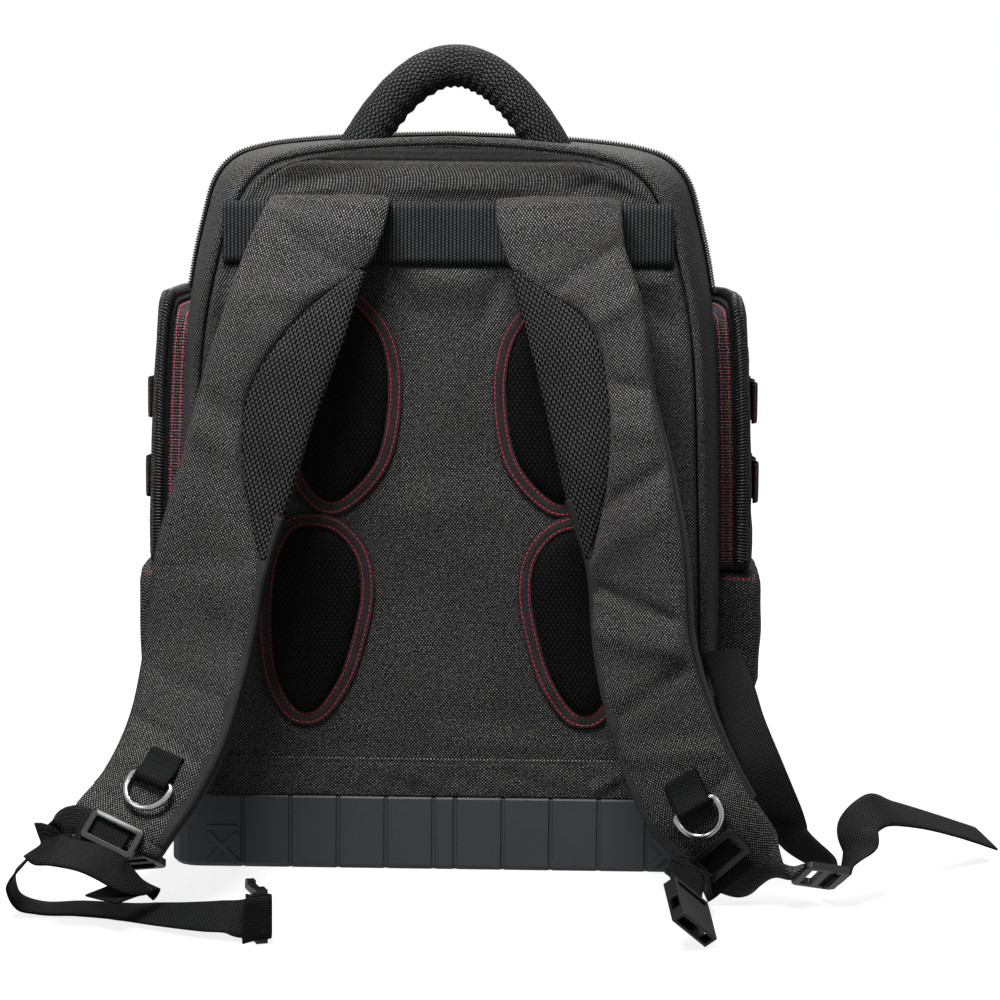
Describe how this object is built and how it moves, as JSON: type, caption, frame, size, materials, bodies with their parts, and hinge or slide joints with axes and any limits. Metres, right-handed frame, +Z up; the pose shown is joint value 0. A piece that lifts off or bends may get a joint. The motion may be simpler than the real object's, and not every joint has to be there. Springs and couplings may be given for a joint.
{
  "type": "tool backpack",
  "caption": "Tool backpack on a moulded base, with mesh back pads, padded shoulder straps, side pockets, a top grip and an undone chest buckle.",
  "frame": {"origin": "middle of the underside of the base", "axes": "+X across the bag, towards the right side as seen from the wearer's side; -Y towards the wearer's side; +Z up"},
  "size_m": [0.6005, 0.4055, 0.5118],
  "materials": {
    "bag weave": "coarse ballistic weave, matt charcoal with light grey flecks",
    "spacer mesh": "black spacer mesh with rows of small holes",
    "webbing": "black ribbed webbing, matt",
    "edge trim": "black ribbed binding and bound welt",
    "moulded base": "dark slate grey, satin",
    "zip": "black coil zip on woven tape",
    "hardware plastic": "black moulded plastic with a slight gloss",
    "ring metal": "bright nickel plate"
  },
  "bodies": {
    "bag": {"main_shell": "bag weave", "back_panel": "bag weave", "panel_hem": "bag weave", "side_pocket_left": "bag weave", "side_pouch_left": "bag weave", "side_pocket_right": "bag weave", "side_pouch_right": "bag weave", "shoulder_strap_left": "bag weave", "shoulder_strap_right": "bag weave", "carry_handle": "spacer mesh", "pad_upper_left": "spacer mesh", "pad_upper_right": "spacer mesh", "pad_lower_left": "spacer mesh", "pad_lower_right": "spacer mesh", "strap_mesh_left": "spacer mesh", "strap_mesh_right": "spacer mesh", "strap_anchor_band": "webbing", "side_loops_lower_left": "webbing", "side_loops_upper_left": "webbing", "side_loops_lower_right": "webbing", "side_loops_upper_right": "webbing", "d_ring_tab_left": "webbing", "d_ring_tab_right": "webbing", "adjuster_web_left": "webbing", "adjuster_web_right": "webbing", "adjuster_tail_right": "webbing", "sternum_web_left": "webbing", "sternum_web_right": "webbing", "sternum_run_left": "webbing", "panel_piping": "edge trim", "pad_border_upper_left": "edge trim", "pad_border_upper_right": "edge trim", "pad_border_lower_left": "edge trim", "pad_border_lower_right": "edge trim", "base_tray": "moulded base", "main_zip": "zip", "pocket_zip_left": "zip", "pocket_zip_right": "zip", "sternum_ring_left": "hardware plastic", "sternum_ring_right": "hardware plastic", "ladder_lock_left": "hardware plastic", "ladder_lock_right": "hardware plastic", "buckle_male": "hardware plastic", "buckle_female": "hardware plastic"},
    "ring_left": {"d_ring_left": "ring metal"},
    "ring_right": {"d_ring_right": "ring metal"}
  },
  "joints": [
    {"name": "ring_left_swing", "type": "hinge", "parent": "bag", "child": "ring_left", "pos_m": [-0.16619, -0.21867, 0.08017], "axis": [-0.8646, 0.4348, 0.252], "range_deg": [0, 150]},
    {"name": "ring_right_swing", "type": "hinge", "parent": "bag", "child": "ring_right", "pos_m": [0.1512, -0.19408, 0.06251], "axis": [-0.8033, 0.2259, -0.5511], "range_deg": [0, 150]}
  ]
}
